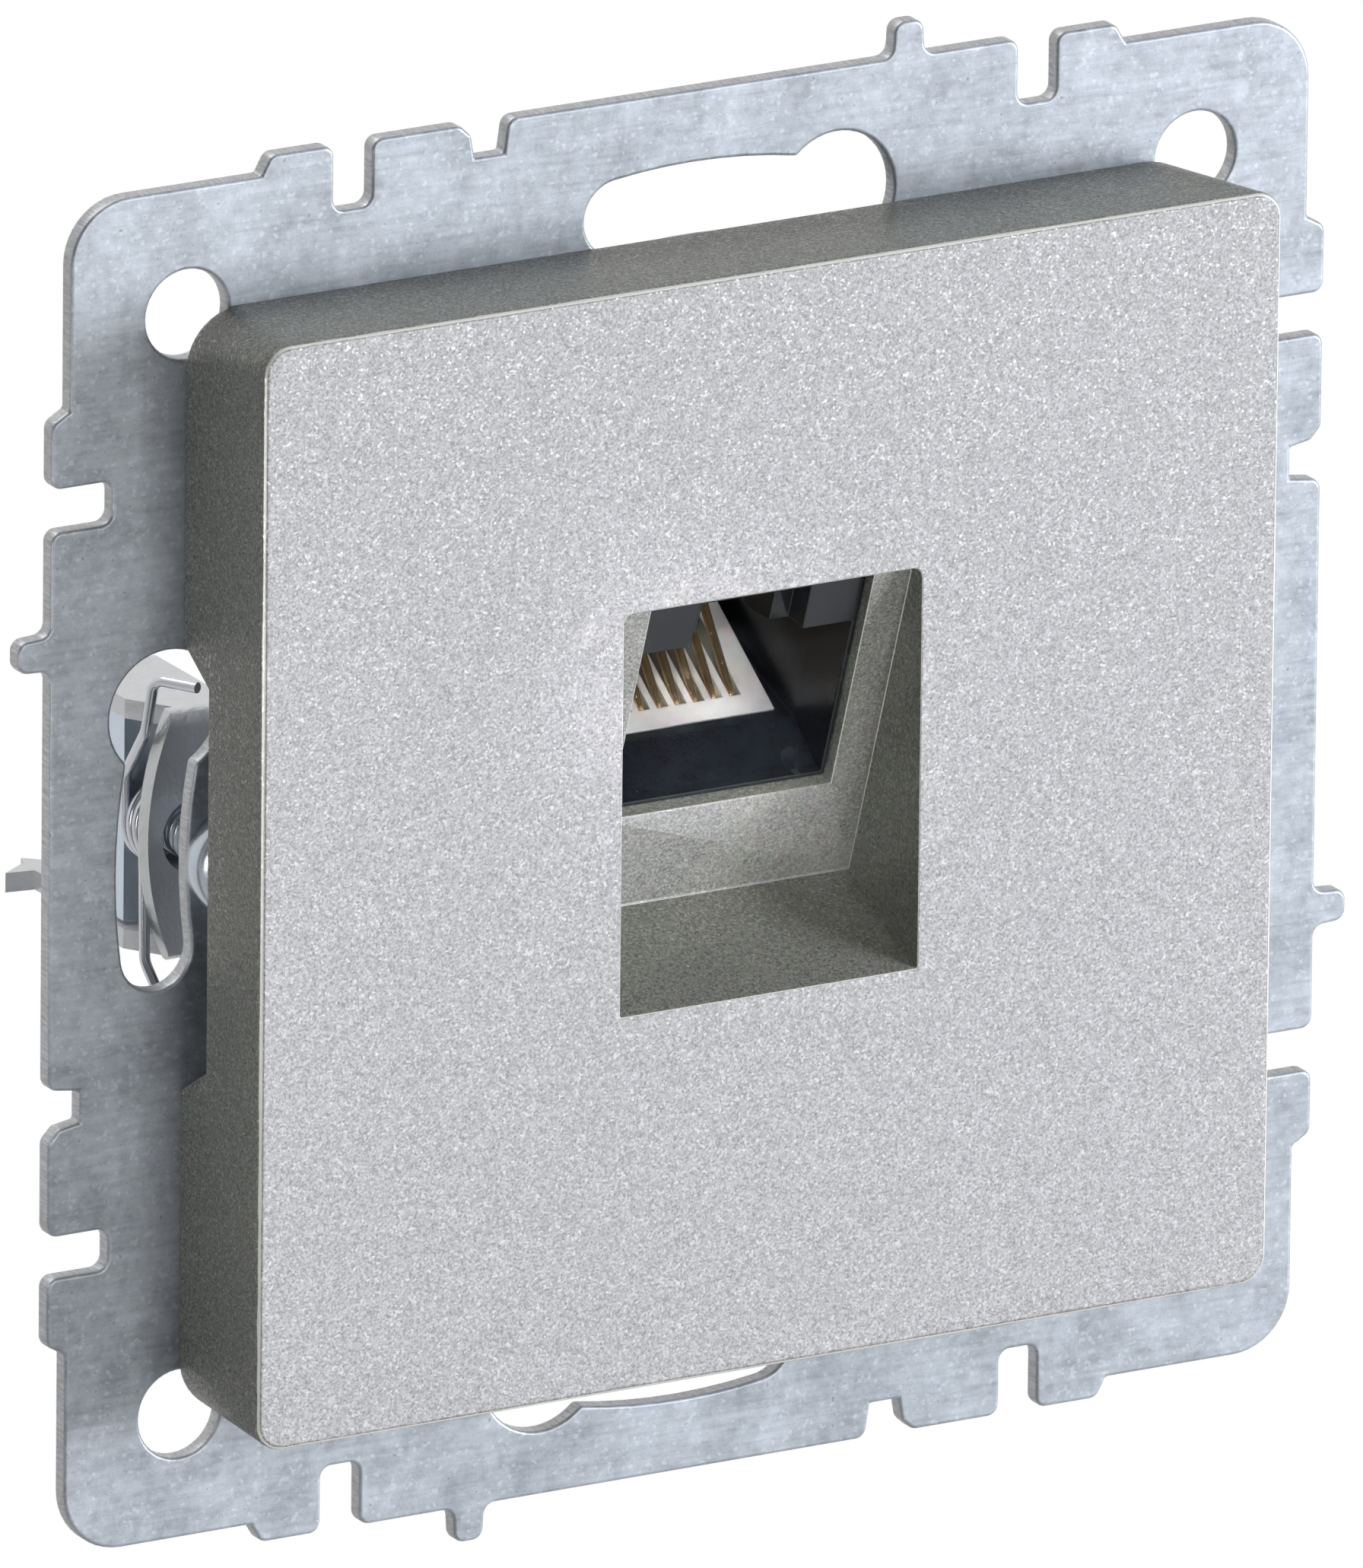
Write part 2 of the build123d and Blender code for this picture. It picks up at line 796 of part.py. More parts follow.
pieces = {
    "support_strap": support_strap(),
    "front_cover": front_cover(),
    "jack_carrier": jack_carrier(),
    "jack_housing": jack_housing(),
    "contact_insert": contact_insert(),
    "spring_contacts": spring_contacts(),
    "jack_board": jack_board(),
    "idc_block_left": idc_block(-block_x),
    "idc_block_right": idc_block(block_x),
    "idc_contacts_left": idc_contacts(-block_x),
    "idc_contacts_right": idc_contacts(block_x),
    "idc_cap_left": idc_cap(-block_x),
    "idc_cap_right": idc_cap(block_x),
    "claw_left": claw(),
    "claw_right": other_side(claw()),
    "claw_screw_left": claw_screw(),
    "claw_screw_right": other_side(claw_screw()),
    "claw_nut_left": claw_nut(),
    "claw_nut_right": other_side(claw_nut()),
    "claw_spring_left": claw_spring(),
    "claw_spring_right": other_side(claw_spring()),
}

os.makedirs("parts", exist_ok=True)
for name, piece in pieces.items():
    export_step(piece, f"parts/{name}.step")
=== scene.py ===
"""Looks of a flush ethernet wall socket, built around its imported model, in metres."""

import math

import bpy
import numpy as np
from mathutils import Matrix


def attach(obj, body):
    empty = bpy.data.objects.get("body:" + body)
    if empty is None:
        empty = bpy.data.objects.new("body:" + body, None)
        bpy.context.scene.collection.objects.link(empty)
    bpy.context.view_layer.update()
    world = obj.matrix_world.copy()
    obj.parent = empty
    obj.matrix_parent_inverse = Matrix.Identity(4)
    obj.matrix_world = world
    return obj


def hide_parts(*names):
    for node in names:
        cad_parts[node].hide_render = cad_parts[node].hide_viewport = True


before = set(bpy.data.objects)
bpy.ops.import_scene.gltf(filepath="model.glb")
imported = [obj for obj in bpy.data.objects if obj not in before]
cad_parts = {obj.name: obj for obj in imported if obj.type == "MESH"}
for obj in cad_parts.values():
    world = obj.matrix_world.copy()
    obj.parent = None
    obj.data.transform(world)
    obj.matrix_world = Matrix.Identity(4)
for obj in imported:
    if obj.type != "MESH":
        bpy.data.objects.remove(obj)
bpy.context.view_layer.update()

# Camera: the photograph was taken from far away with a long lens, from the
# left and a little above. The lens and its place are those that were fitted
# to the strap's outline.
PHOTO_WIDTH = 1792
PHOTO_HEIGHT = 2061
SENSOR = 36.0
FOCAL_PIXELS = 54543.0
NEAREST_SEEN = 0.05
FARTHEST_SEEN = 20.0
CAMERA_RIGHT = (0.87295, -0.48770, 0.01034)
CAMERA_UP = (0.14355, 0.27710, 0.95006)
CAMERA_BACK = (-0.46621, -0.82787, 0.31190)
CAMERA_PLACE = (-0.94540, -1.67906, 0.63225)


def stand(name, data, right, up, back, place):
    """Stands a camera or lamp at a place, with its axes along three directions."""
    matrix = np.eye(4)
    matrix[:3, :3] = np.column_stack((right, up, back))
    matrix[:3, 3] = place
    made = bpy.data.objects.new(name, data)
    made.matrix_world = Matrix(matrix.tolist())
    bpy.context.scene.collection.objects.link(made)
    return made


lens = bpy.data.cameras.new("camera")
lens.sensor_fit = "AUTO"
lens.sensor_width = SENSOR
lens.lens = FOCAL_PIXELS * SENSOR / max(PHOTO_WIDTH, PHOTO_HEIGHT)
lens.clip_start = NEAREST_SEEN
lens.clip_end = FARTHEST_SEEN
camera = stand("camera", lens, CAMERA_RIGHT, CAMERA_UP, CAMERA_BACK, CAMERA_PLACE)
bpy.context.scene.camera = camera

# Light: a large soft box low on the right gives most of it. A weaker one
# stands in front, another above and behind, and a small card near the left
# side. A narrow beam falls into the port.
WHITE = (1.0, 1.0, 1.0)
COOL_WHITE = (0.97, 0.99, 1.04)
WARM_WHITE = (1.0, 0.985, 0.96)
STRAP_MIDDLE = (0.0, 0.0, 0.0)
LEFT_SIDE = (-0.03, -0.005, 0.0)
INSIDE_PORT = (0.0005, -0.004, 0.003)
BEAM_SPREAD = math.radians(3.0)


def soft_box(name, place, target, size, power, colour=WHITE):
    """Square area lamp that faces a point."""
    lamp = bpy.data.lights.new(name, "AREA")
    lamp.shape = "SQUARE"
    lamp.size = size
    lamp.energy = power
    lamp.color = colour
    back = np.array(place) - np.array(target)
    back /= np.linalg.norm(back)
    right = np.cross((0.0, 0.0, 1.0), back)
    right /= np.linalg.norm(right)
    stand(name, lamp, right, np.cross(back, right), back, place)
    return lamp


soft_box("key", (0.60, -0.46, 0.06), STRAP_MIDDLE, size=0.32, power=6.8, colour=COOL_WHITE)
soft_box("fill", (0.02, -0.36, 0.025), STRAP_MIDDLE, size=0.14, power=0.47, colour=WARM_WHITE)
soft_box("card", (-0.075, -0.03, 0.0), LEFT_SIDE, size=0.02, power=0.008)
soft_box("top", (-0.09, 0.12, 0.33), STRAP_MIDDLE, size=0.20, power=0.5)
beam = soft_box("snoot", (-0.15, -0.30, 0.15), INSIDE_PORT, size=0.010, power=0.0005)
beam.spread = BEAM_SPREAD
bpy.context.scene.view_settings.view_transform = "Standard"


# Surround: a white studio, which the lens sees as pure white. Gloss sees it
# bright on the right and behind the socket and dark elsewhere, and as a light
# it is weak.
class Value:
    """A shader socket that works in sums: each operator adds its Math node."""

    def __init__(self, nodes, socket):
        self.nodes = nodes
        self.socket = socket

    def __add__(self, other):
        return self.nodes.maths("ADD", self, other)

    def __rsub__(self, other):
        return self.nodes.maths("SUBTRACT", other, self)

    def __mul__(self, other):
        return self.nodes.maths("MULTIPLY", self, other)

    def __abs__(self):
        return self.nodes.maths("ABSOLUTE", self, 0.0)

    __radd__ = __add__


def opaque(colour):
    """A colour for a socket: a linked value as it is, or three shares made solid."""
    return colour if isinstance(colour, Value) else (*colour, 1.0)


class Nodes:
    """A node tree that is built one node at a time."""

    def __init__(self, tree):
        self.tree = tree

    def node(self, kind, sockets=None, settings=None, output=0):
        """Adds a node: its settings first, then its sockets' values or links."""
        made = self.tree.nodes.new(kind)
        for key, value in (settings or {}).items():
            setattr(made, key, value)
        for key, value in (sockets or {}).items():
            self.feed(made.inputs[key], value)
        return Value(self, made.outputs[output])

    def feed(self, socket, value):
        """Links a value to a socket, or sets the socket to a plain one."""
        if isinstance(value, Value):
            self.tree.links.new(value.socket, socket)
        else:
            socket.default_value = value

    def maths(self, operation, first, second):
        return self.node("ShaderNodeMath", {0: first, 1: second}, {"operation": operation})

    def between(self, factor, low, high):
        """Runs from 0 to 1 as the factor goes from low to high."""
        sockets = {"Value": factor, "From Min": low, "From Max": high}
        return self.node("ShaderNodeMapRange", sockets)

    def along(self, vector, direction):
        """How far a vector reaches along a direction."""
        sockets = {0: vector, 1: direction}
        settings = {"operation": "DOT_PRODUCT"}
        return self.node("ShaderNodeVectorMath", sockets, settings, output="Value")

    def seen_by(self, ray):
        """1 for rays of one kind, Camera or Glossy, and 0 for the others."""
        return self.node("ShaderNodeLightPath", output=f"Is {ray} Ray")


BRIGHT_SIDE = (0.61, -0.79, 0.0)
INTO_WALL = (0.0, 1.0, 0.0)
GLOSS_OF_BRIGHT_SIDES = 0.9
GLOSS_ELSEWHERE = 0.04
AS_A_LIGHT = 0.03

world = bpy.data.worlds.new("surround")
world.use_nodes = True
bpy.context.scene.world = world
sky = Nodes(world.node_tree)
direction = sky.node("ShaderNodeTexCoord", output="Generated")
on_the_right = sky.between(sky.along(direction, BRIGHT_SIDE), 0.35, 0.95)
behind = sky.between(sky.along(direction, INTO_WALL), -0.1, 0.4)
bright_sides = on_the_right * GLOSS_OF_BRIGHT_SIDES + behind * GLOSS_OF_BRIGHT_SIDES
gloss = bright_sides + GLOSS_ELSEWHERE
background = world.node_tree.nodes["Background"]
sky.feed(background.inputs["Color"], opaque(WHITE))
strength = sky.seen_by("Camera") + sky.seen_by("Glossy") * gloss + AS_A_LIGHT
sky.feed(background.inputs["Strength"], strength)


# Floor: a sheet of grey paper, so far below that the socket's shadow stays
# out of the picture. The lens sees it as white, and gloss sees it grow
# brighter towards the back.
class Finish(Nodes):
    """A material whose patterns lie on the object's own coordinates."""

    def __init__(self, name):
        self.material = bpy.data.materials.new(name)
        self.material.use_nodes = True
        super().__init__(self.material.node_tree)
        self.place = self.node("ShaderNodeTexCoord", output="Object")

    def shader(self, **values):
        """Sets the Principled shader's sockets, named with underscores."""
        sockets = self.tree.nodes["Principled BSDF"].inputs
        for key, value in values.items():
            self.feed(sockets[key.replace("_", " ")], value)


FLOOR_DROP = 0.30
FLOOR_HALF = 3.0
PAPER_GREY = (0.25, 0.25, 0.24)
TOWARDS_BACK = (0.35, 1.0, 0.0)
MIRRORED_IN_FRONT = 0.35
MIRRORED_GAIN = 0.55

floor_corners = [(-1, -1), (1, -1), (1, 1), (-1, 1)]
floor_points = [(x * FLOOR_HALF, y * FLOOR_HALF, -FLOOR_DROP) for x, y in floor_corners]
floor_mesh = bpy.data.meshes.new("floor")
floor_mesh.from_pydata(floor_points, [], [(0, 1, 2, 3)])
floor = bpy.data.objects.new("floor", floor_mesh)
bpy.context.scene.collection.objects.link(floor)
paper = Finish("paper")
paper.shader(Base_Color=opaque(PAPER_GREY), Roughness=0.9)
backward = paper.between(paper.along(paper.place, TOWARDS_BACK), -0.9, 0.2)
mirrored = backward * MIRRORED_GAIN + MIRRORED_IN_FRONT
shown_white = paper.seen_by("Camera") + paper.seen_by("Glossy") * mirrored
lit_paper = Value(paper, paper.tree.nodes["Principled BSDF"].outputs[0])
pure_white = paper.node("ShaderNodeEmission", {"Color": opaque(WHITE)})
paper_mix = paper.node("ShaderNodeMixShader", {0: shown_white, 1: lit_paper, 2: pure_white})
paper.feed(paper.tree.nodes["Material Output"].inputs["Surface"], paper_mix)
floor_mesh.materials.append(paper.material)


# Support strap: one stamping of galvanised steel sheet. The press rolls its
# front edges over and shears the cut faces, and the zinc is faintly mottled
# and brushed along the strip.
class Surface(Finish):
    """A finish with the patterns and reliefs that real surfaces have."""

    def noise(self, scale, detail=2.0, stretch=(1.0, 1.0, 1.0), roughness=0.5):
        """Noise in cycles per metre, drawn out along an axis by a small stretch."""
        place = self.node("ShaderNodeMapping", {"Vector": self.place, "Scale": stretch})
        sockets = {"Vector": place, "Scale": scale, "Detail": detail, "Roughness": roughness}
        return self.node("ShaderNodeTexNoise", sockets)

    def cells(self, scale):
        """Small cells, each with an even random value from 0 to 1."""
        sockets = {"Vector": self.place, "Scale": scale}
        mixed = self.node("ShaderNodeTexVoronoi", sockets, output="Color")
        return self.node("ShaderNodeSeparateColor", {0: mixed})

    def blend(self, factor, first, second):
        """Goes from the first colour to the second with a factor from 0 to 1."""
        sockets = {0: factor, 6: opaque(first), 7: opaque(second)}
        return self.node("ShaderNodeMix", sockets, {"data_type": "RGBA"}, output=2)

    def facing(self):
        """1 where the surface faces the front or the wall, and 0 on its sides."""
        normal = self.node("ShaderNodeTexCoord", output="Normal")
        return abs(self.along(normal, INTO_WALL))

    def bump(self, height, distance, strength=1.0):
        """Turns a height from 0 to 1 into a relief of a depth in metres."""
        sockets = {"Height": height, "Distance": distance, "Strength": strength}
        return self.node("ShaderNodeBump", sockets, output="Normal")


ZINC_DARK = (0.25, 0.274, 0.305)
ZINC_PALE = (0.475, 0.515, 0.57)
ZINC_SPECK = (0.72, 0.77, 0.84)
ZINC_PIT = (0.10, 0.10, 0.11)
SHEARED_DARK = (0.42, 0.425, 0.435)
SHEARED_PALE = (0.66, 0.67, 0.69)
ZINC_RELIEF = 0.00002
STRAP_EDGE = 0.00020
SAME_POINT = 1e-6


def dress(node, finish):
    """Gives a carried-over piece its finish."""
    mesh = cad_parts[node].data
    mesh.materials.clear()
    mesh.materials.append(finish.material)


def soften(node, width, angle=35.0, segments=2):
    """Rounds a piece's sharp edges a little, as stamping or moulding does."""
    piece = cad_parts[node]
    weld = piece.modifiers.new("weld", "WELD")
    weld.merge_threshold = SAME_POINT
    bevel = piece.modifiers.new("bevel", "BEVEL")
    bevel.width = width
    bevel.segments = segments
    bevel.limit_method = "ANGLE"
    bevel.angle_limit = math.radians(angle)
    bevel.use_clamp_overlap = False
    bevel.loop_slide = False
    bevel.harden_normals = True


def zinc_sheet():
    """Mottled and brushed zinc on the faces, and sheared steel on the cuts."""
    zinc = Surface("zinc_strap")
    clouds = zinc.noise(260.0, detail=4.0, roughness=0.6)
    spangle = zinc.noise(1500.0, detail=4.0, roughness=0.7)
    brushed = zinc.noise(3000.0, detail=3.0, stretch=(0.08, 1.0, 1.0), roughness=0.6)
    mottle = zinc.between(clouds * 0.35 + spangle * 0.40 + brushed * 0.25, 0.36, 0.64)
    colour = zinc.blend(mottle, ZINC_DARK, ZINC_PALE)
    specks = zinc.between(zinc.cells(5200.0), 0.90, 0.96)
    colour = zinc.blend(specks * 0.22, colour, ZINC_SPECK)
    pits = zinc.between(zinc.noise(3000.0), 0.66, 0.74)
    colour = zinc.blend(pits * 0.5, colour, ZINC_PIT)
    face = zinc.between(zinc.facing(), 0.35, 0.6)
    shear = zinc.noise(9000.0, detail=4.0, stretch=(1.0, 0.15, 1.0))
    cut = zinc.blend(zinc.between(shear, 0.30, 0.70), SHEARED_DARK, SHEARED_PALE)
    height = (brushed * 0.4 + spangle * 0.6) * face + (1 - face) * shear * 0.4
    zinc.shader(
        Base_Color=zinc.blend(face, cut, colour),
        Metallic=0.45,
        Roughness=0.34 + clouds * 0.12 + spangle * 0.10,
        Normal=zinc.bump(height, ZINC_RELIEF),
    )
    return zinc


dress("support_strap", zinc_sheet())
soften("support_strap", STRAP_EDGE, segments=3)

# Front cover: one moulding, sprayed from the front with an aluminium-coloured
# paint. Faces turned away from the front, the recess's walls too, are painted
# darker and greyer as shade, and a painted highlight runs along the sharp edges.
# The side colours stand for painted shade; the front colours are the paint's own.
SHADED_SIDE_DARK = (0.075, 0.08, 0.063)
SHADED_SIDE_PALE = (0.365, 0.37, 0.335)
FRONT_PAINT_DARK = (0.235, 0.235, 0.235)
FRONT_PAINT_PALE = (0.655, 0.66, 0.685)
PAINTED_GLINT = (0.95, 0.94, 0.90)
PAINTED_EDGE_HIGHLIGHT = (0.92, 0.92, 0.90)
PAINT_RELIEF = 0.00002
COVER_EDGE = 0.00009


def aluminium_paint():
    """Fine grain with painted glints, the paint's colour on the front, painted shade on the
    sides and a painted highlight on edges.
    """
    paint = Surface("aluminium_paint")
    grain = paint.noise(8000.0, detail=3.0, roughness=0.7)
    flakes = paint.cells(9000.0)
    sparkle = paint.between(grain, 0.36, 0.64) * 0.55 + flakes * 0.45
    facing = paint.facing()
    # Painted shade: faces turned away from the front, the recess's walls too, take a darker,
    # greyer colour.
    painted_side_shade = paint.blend(sparkle, SHADED_SIDE_DARK, SHADED_SIDE_PALE)
    front_paint = paint.blend(sparkle, FRONT_PAINT_DARK, FRONT_PAINT_PALE)
    colour = paint.blend(paint.between(facing, 0.93, 0.99), painted_side_shade, front_paint)
    # Painted glints: pale specks on some flake cells stand for highlights; these cells are
    # also made partly metallic.
    painted_glints = paint.between(flakes, 0.90, 0.97)
    colour = paint.blend(painted_glints * 0.22, colour, PAINTED_GLINT)
    # Painted highlight: a pale, partly metallic band on the rounded edges, where the normal
    # turns between front and side.
    painted_edge_highlight = paint.between(facing, 0.50, 0.60) * paint.between(facing, 0.92, 0.82)
    paint.shader(
        Base_Color=paint.blend(painted_edge_highlight * 0.8, colour, PAINTED_EDGE_HIGHLIGHT),
        Metallic=painted_glints * 0.6 + painted_edge_highlight * 0.5,
        Roughness=0.50 - sparkle * 0.12,
        Normal=paint.bump(grain * 0.6 + flakes * 0.4, PAINT_RELIEF, strength=0.6),
    )
    return paint


dress("front_cover", aluminium_paint())
soften("front_cover", COVER_EDGE, angle=60.0)

# Jack carrier: one moulding in dark grey plastic, clipped into the strap's
# opening from behind. Its sleeve holds the jack, and its two bosses hold the
# claws' tabs.
CARRIER_GREY = (0.05, 0.05, 0.055)
SPARKED_RELIEF = 0.000008
CLOUD_SHARE = 0.04


def plain_plastic(name, colour, rough):
    """Moulded plastic: an even colour with a faint cloud and a spark-eroded skin."""
    plastic = Surface(name)
    cloud = plastic.noise(300.0, detail=3.0)
    skin = plastic.noise(9000.0)
    darker = tuple(share * (1 - CLOUD_SHARE) for share in colour)
    paler = tuple(share * (1 + CLOUD_SHARE) for share in colour)
    plastic.shader(
        Base_Color=plastic.blend(cloud, darker, paler),
        Roughness=rough + cloud * 0.08,
        Normal=plastic.bump(skin, SPARKED_RELIEF, strength=0.5),
    )
    return plastic


dress("jack_carrier", plain_plastic("grey_plastic", CARRIER_GREY, 0.5))

# Jack housing: one moulding in glossy black plastic, pushed into the
# carrier's sleeve. Its mouth stands on the tilted wall of the recess.
HOUSING_BLACK = (0.013, 0.016, 0.020)
HOUSING_EDGE = 0.00008

dress("jack_housing", plain_plastic("black_plastic", HOUSING_BLACK, 0.22))
soften("jack_housing", HOUSING_EDGE)

# Contact insert: one moulding in white plastic inside the housing. The wires
# lie over its ramp, and its slots keep them apart.
INSERT_WHITE = (0.88, 0.88, 0.87)

dress("contact_insert", plain_plastic("white_plastic", INSERT_WHITE, 0.4))

# Jack board: a circuit board of glass fibre with green lacquer, behind the
# housing. The wires' tails and the blades' pins go through its holes.
BOARD_GREEN = (0.02, 0.16, 0.07)

dress("jack_board", plain_plastic("green_board", BOARD_GREEN, 0.35))

# Terminal blocks: two mouldings in pale plastic on the back of the board.
# Each has four slots across it, in which the cable's conductors lie.
SIDES = ("left", "right")
BLOCK_CREAM = (0.78, 0.78, 0.75)

block_plastic = plain_plastic("terminal_plastic", BLOCK_CREAM, 0.45)
for side in SIDES:
    dress(f"idc_block_{side}", block_plastic)

# Terminal caps: two mouldings in grey plastic, pressed over the blocks. They
# push the conductors home and hold them there.
CAP_GREY = (0.62, 0.66, 0.70)

cap_plastic = plain_plastic("cap_plastic", CAP_GREY, 0.4)
for side in SIDES:
    dress(f"idc_cap_{side}", cap_plastic)

# Spring contacts: eight wires plated with gold, folded over the insert's
# ramp. Wear and the fold leave them streaked with brown.
GOLD = (0.86, 0.60, 0.33)
PLATED_RELIEF = 0.000006


def plated(name, colour, rough, streaks=0.2, dents=0.0, metallic=0.75):
    """Plated metal with streaks in tone and gloss, and a fine skin or dents."""
    metal = Surface(name)
    cloud = metal.noise(900.0, detail=3.0)
    streaked = tuple(share * (1 - streaks) for share in colour)
    if dents:
        uneven = metal.noise(1500.0, roughness=0.6)
        relief = metal.bump(uneven, dents, strength=0.8)
    else:
        fine = metal.noise(6000.0)
        relief = metal.bump(fine, PLATED_RELIEF, strength=0.6)
    metal.shader(
        Base_Color=metal.blend(cloud, streaked, colour),
        Metallic=metallic,
        Roughness=rough + cloud * 0.1,
        Normal=relief,
    )
    return metal


dress("spring_contacts", plated("gold_contact", GOLD, 0.20, streaks=0.5))

# Terminal blades: four forked blades of tinned sheet in each block, with a
# pin through the board. Each cuts through a conductor's insulation.
BLADE_TIN = (0.72, 0.72, 0.70)

tinned_sheet = plated("tinned_contact", BLADE_TIN, 0.3)
for side in SIDES:
    dress(f"idc_contacts_{side}", tinned_sheet)

# Claws: a folding of zinc-plated steel sheet on each side, dented by
# tumbling. Its tab rocks in the carrier's boss, and its barbed toes grip the
# wall of the box.
CLAW_ZINC = (0.96, 0.97, 0.98)
CLAW_DENTS = 0.00012

claw_finish = plated("claw_zinc", CLAW_ZINC, 0.28, dents=CLAW_DENTS, metallic=0.35)
for side in SIDES:
    dress(f"claw_{side}", claw_finish)

# Nut plates: a tapped plate of zinc-plated steel between the ears of each
# claw. The screw draws it towards the strap, and it pushes the claw outward.
NUT_ZINC = (0.70, 0.78, 0.88)

nut_finish = plated("nut_zinc", NUT_ZINC, 0.25)
for side in SIDES:
    dress(f"claw_nut_{side}", nut_finish)

# Return springs: bright steel wire, coiled round each screw. The legs fold
# the claw in again when the screw is loosened.
SPRING_STEEL = (0.72, 0.74, 0.78)

spring_finish = plated("spring_wire", SPRING_STEEL, 0.15)
for side in SIDES:
    dress(f"claw_spring_{side}", spring_finish)

# Claw screws: M3 pan-head machine screws of zinc-plated steel, with a rolled
# thread and a pressed cross. One passes through each side of the strap and
# draws its nut forward.
SCREW_ZINC = (0.57, 0.62, 0.68)
SCREW_X = 0.0251
STRAP_FRONT = -0.001
HEAD_RADIUS = 0.00295
HEAD_HEIGHT = 0.0019
HEAD_ROUNDING = 0.0010
HEAD_UNDERCUT = 0.00008
HEAD_ROWS = 7
CROSS_REACH = 0.0017
CROSS_HALF_WIDTH = 0.00036
CROSS_DEPTH = 0.00125
CROSS_CENTRE = 0.15
CROSS_FOOT = 0.90
CROSS_NECK = 0.97
CROSS_NECK_DEPTH = 0.00006
CROSS_LIP = 0.00005
CROSS_RIM = 0.00008
FLAT_TOP = 0.93
SHANK_RADIUS = 0.00145
SHANK_LENGTH = 0.016
THREAD_DEPTH = 0.00029
THREAD_PITCH = 0.0005
THREAD_ROWS = 8
CREST_STEEPNESS = 1.5
CREST_BLUNTNESS = 0.25
TIP_LENGTH = 0.0006
TIP_SHARE = 0.28
TIP_END = 0.66
SCREW_TURN_STEP = 3.0
NEVER_ZERO = 1e-9


def grid_mesh(name, rings):
    """Joins rings of points, an array of rows by turns by 3, into a closed skin."""
    rows, turns, _ = rings.shape
    row, turn = np.meshgrid(np.arange(rows - 1), np.arange(turns), indexing="ij")
    after = (turn + 1) % turns
    here = row * turns
    below = (row + 1) * turns
    corners = (here + turn, here + after, below + after, below + turn)
    faces = np.stack(corners, axis=-1).reshape(-1, 4).tolist()
    faces.append(list(range(turns))[::-1])
    faces.append(list(range((rows - 1) * turns, rows * turns)))
    mesh = bpy.data.meshes.new(name)
    mesh.from_pydata(rings.reshape(-1, 3).tolist(), [], faces)
    mesh.validate()
    mesh.shade_smooth()
    return mesh


def screw_rows():
    """Radius and height of each row of the screw, as functions of the turn angle.

    The cross is the farther edge of two crossed bars, the head a flat dome
    with a quarter-round edge, and the thread a blunt wave that climbs one
    pitch each turn.
    """
    angle = np.radians(np.arange(0.0, 360.0, SCREW_TURN_STEP))
    along = np.abs(np.cos(angle)) + NEVER_ZERO
    across = np.abs(np.sin(angle)) + NEVER_ZERO
    first = np.minimum(CROSS_REACH / along, CROSS_HALF_WIDTH / across)
    second = np.minimum(CROSS_HALF_WIDTH / along, CROSS_REACH / across)
    cross = np.maximum(first, second)
    level = np.ones_like(angle)
    flat = HEAD_RADIUS - HEAD_ROUNDING
    cross_floor = HEAD_HEIGHT - CROSS_DEPTH
    rows = [
        (cross * CROSS_CENTRE, level * cross_floor),
        (cross * CROSS_FOOT, level * cross_floor),
        (cross * CROSS_NECK, level * (HEAD_HEIGHT - CROSS_NECK_DEPTH)),
        (cross + CROSS_LIP, level * HEAD_HEIGHT),
        (np.maximum(cross + CROSS_RIM, flat * FLAT_TOP), level * HEAD_HEIGHT),
    ]
    for step in np.linspace(0.0, math.pi / 2, HEAD_ROWS):
        reach = flat + HEAD_ROUNDING * math.sin(step)
        height = HEAD_HEIGHT - HEAD_ROUNDING * (1 - math.cos(step))
        rows.append((level * reach, level * height))
    rows.append((level * HEAD_RADIUS, level * HEAD_UNDERCUT))
    rows.append((level * (HEAD_RADIUS - HEAD_UNDERCUT), level * 0.0))
    rows.append((level * SHANK_RADIUS, level * 0.0))
    for down in np.arange(0.0, SHANK_LENGTH, THREAD_PITCH / THREAD_ROWS):
        phase = (down / THREAD_PITCH - angle / (2 * math.pi)) % 1.0
        wave = 1 - np.abs(2 * phase - 1)
        crest = np.clip(wave * CREST_STEEPNESS - CREST_BLUNTNESS, 0.0, 1.0)
        taper = min(1.0, (SHANK_LENGTH - down) / TIP_LENGTH)
        thread = SHANK_RADIUS - THREAD_DEPTH * (1 - crest)
        rows.append((thread * (1 - TIP_SHARE + TIP_SHARE * taper), level * -down))
    rows.append((level * SHANK_RADIUS * TIP_END, level * -SHANK_LENGTH))
    radius, height = np.array(rows).transpose(1, 0, 2)
    return radius, height, angle


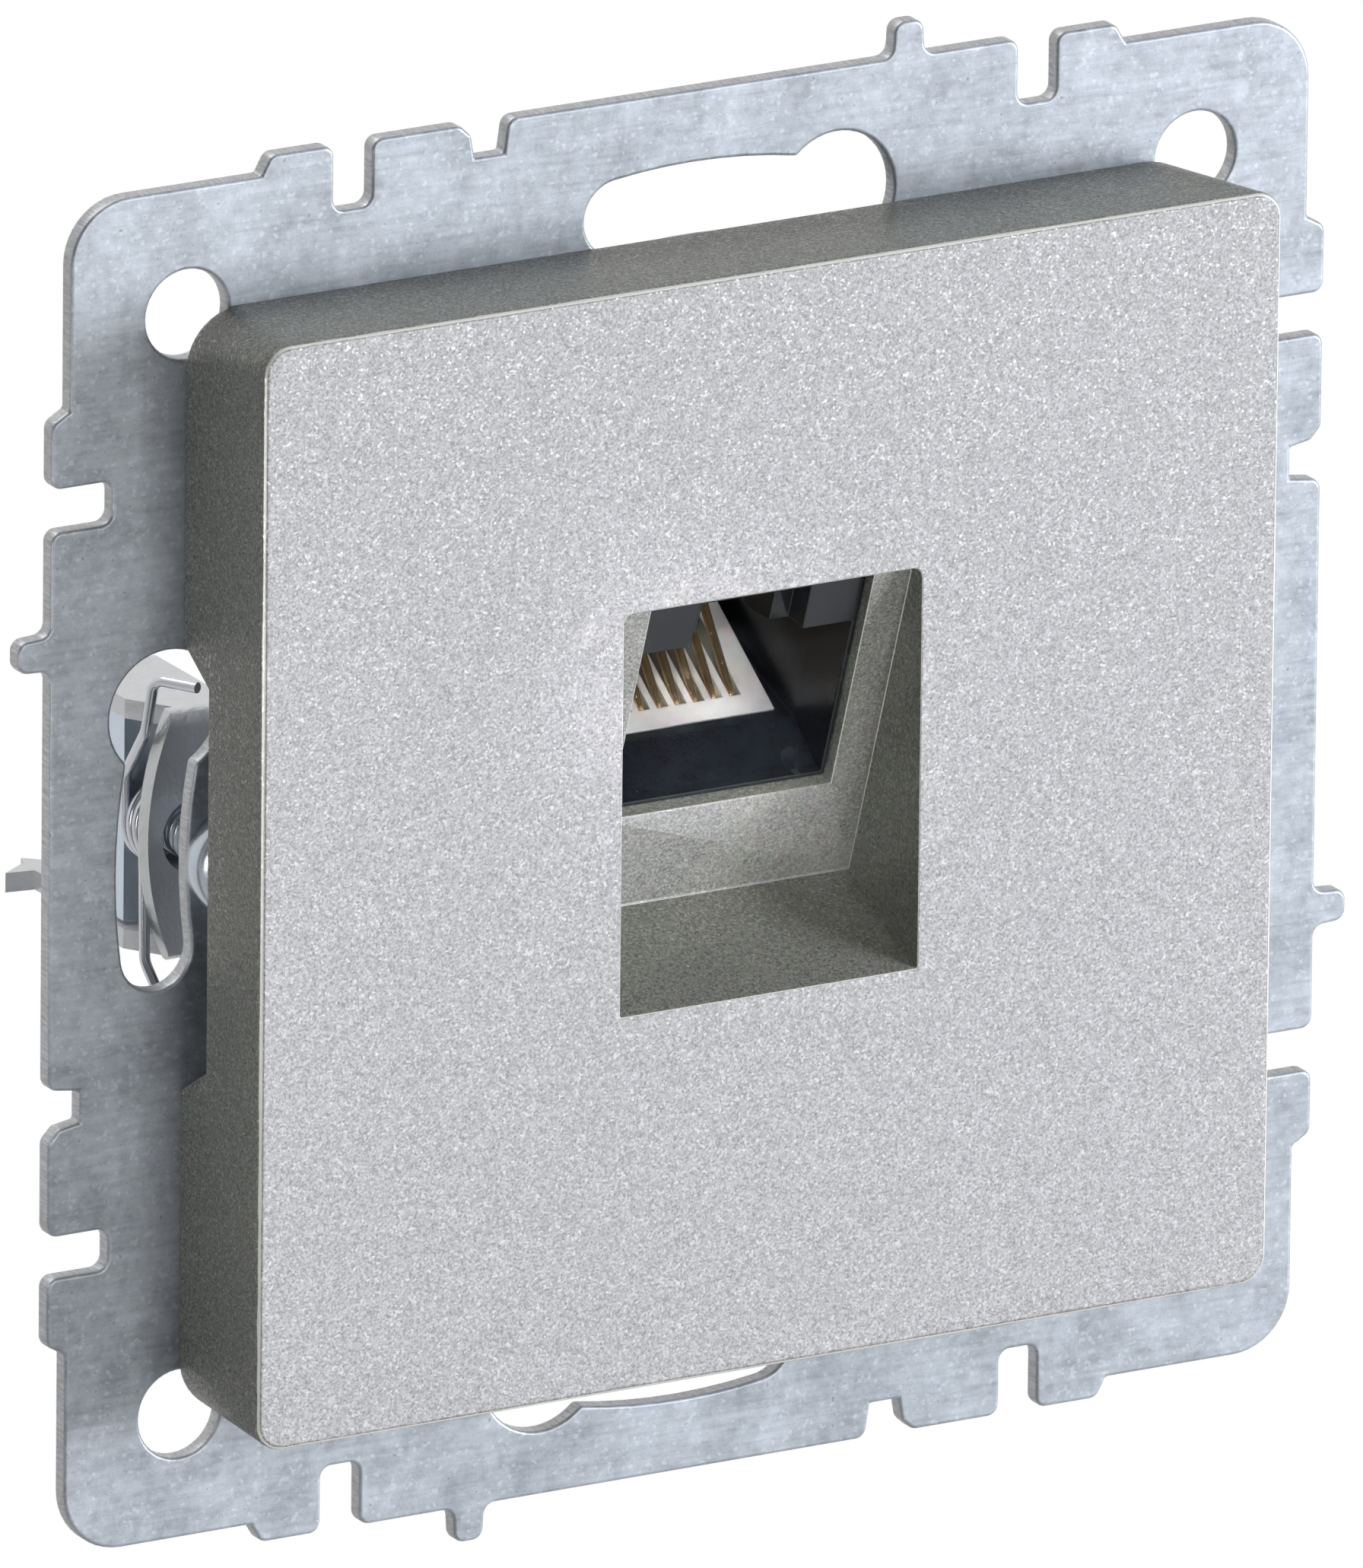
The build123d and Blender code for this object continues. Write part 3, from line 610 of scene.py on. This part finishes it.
def screw_mesh(name, x):
    """The screw with its head towards -Y and its axis at x."""
    radius, height, angle = screw_rows()
    points = (x + radius * np.cos(angle), STRAP_FRONT - height, radius * np.sin(angle))
    return grid_mesh(name, np.stack(points, axis=-1))


screw_finish = plated("screw_zinc", SCREW_ZINC, 0.20)
for side, x in (("left", -SCREW_X), ("right", SCREW_X)):
    name = f"threaded_screw_{side}"
    screw = bpy.data.objects.new(name, screw_mesh(name, x))
    bpy.context.scene.collection.objects.link(screw)
    screw.data.materials.append(screw_finish.material)
    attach(screw, f"screw_{side}")
    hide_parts(f"claw_screw_{side}")

# Solder: one bead of tin round each of the jack's eight wires, where they
# come through the back of the board.
SOLDER_TIN = (0.78, 0.78, 0.77)
PORT_Y = -0.00572
PORT_Z = 0.0047
PORT_TILT = math.radians(18.9)
BOARD_BACK = 0.01745
WIRES = 8
WIRE_ROW = -0.00435
WIRE_PITCH = 0.001016
WIRE_RADIUS = 0.00023
BEAD_TOP = 0.98
BEAD_SPREAD = 0.00022
BEAD_HEIGHT = 0.0006
BEAD_SUNK = 0.00002
BEAD_ROWS = 7
BEAD_TURN_STEP = 20.0


def solder_beads():
    """Eight skins whose radius falls with the square of the height left to climb."""
    angle = np.radians(np.arange(0.0, 360.0, BEAD_TURN_STEP))
    climb = np.linspace(0.0, 1.0, BEAD_ROWS)[:, None]
    radius = WIRE_RADIUS * BEAD_TOP + BEAD_SPREAD * (1 - climb) ** 2
    depth = BOARD_BACK - BEAD_SUNK + BEAD_HEIGHT * climb
    rise = WIRE_ROW + radius * np.sin(angle)
    y = PORT_Y + depth * math.cos(PORT_TILT) - rise * math.sin(PORT_TILT)
    z = PORT_Z + depth * math.sin(PORT_TILT) + rise * math.cos(PORT_TILT)
    for count in range(WIRES):
        x = (count - (WIRES - 1) / 2) * WIRE_PITCH + radius * np.cos(angle)
        yield np.stack((x, y, z), axis=-1)


solder_finish = plated("solder", SOLDER_TIN, 0.25)
for count, rings in enumerate(solder_beads()):
    bead = bpy.data.objects.new(f"solder_bead_{count + 1}", grid_mesh("solder_bead", rings))
    bpy.context.scene.collection.objects.link(bead)
    bead.data.materials.append(solder_finish.material)
    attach(bead, "socket")
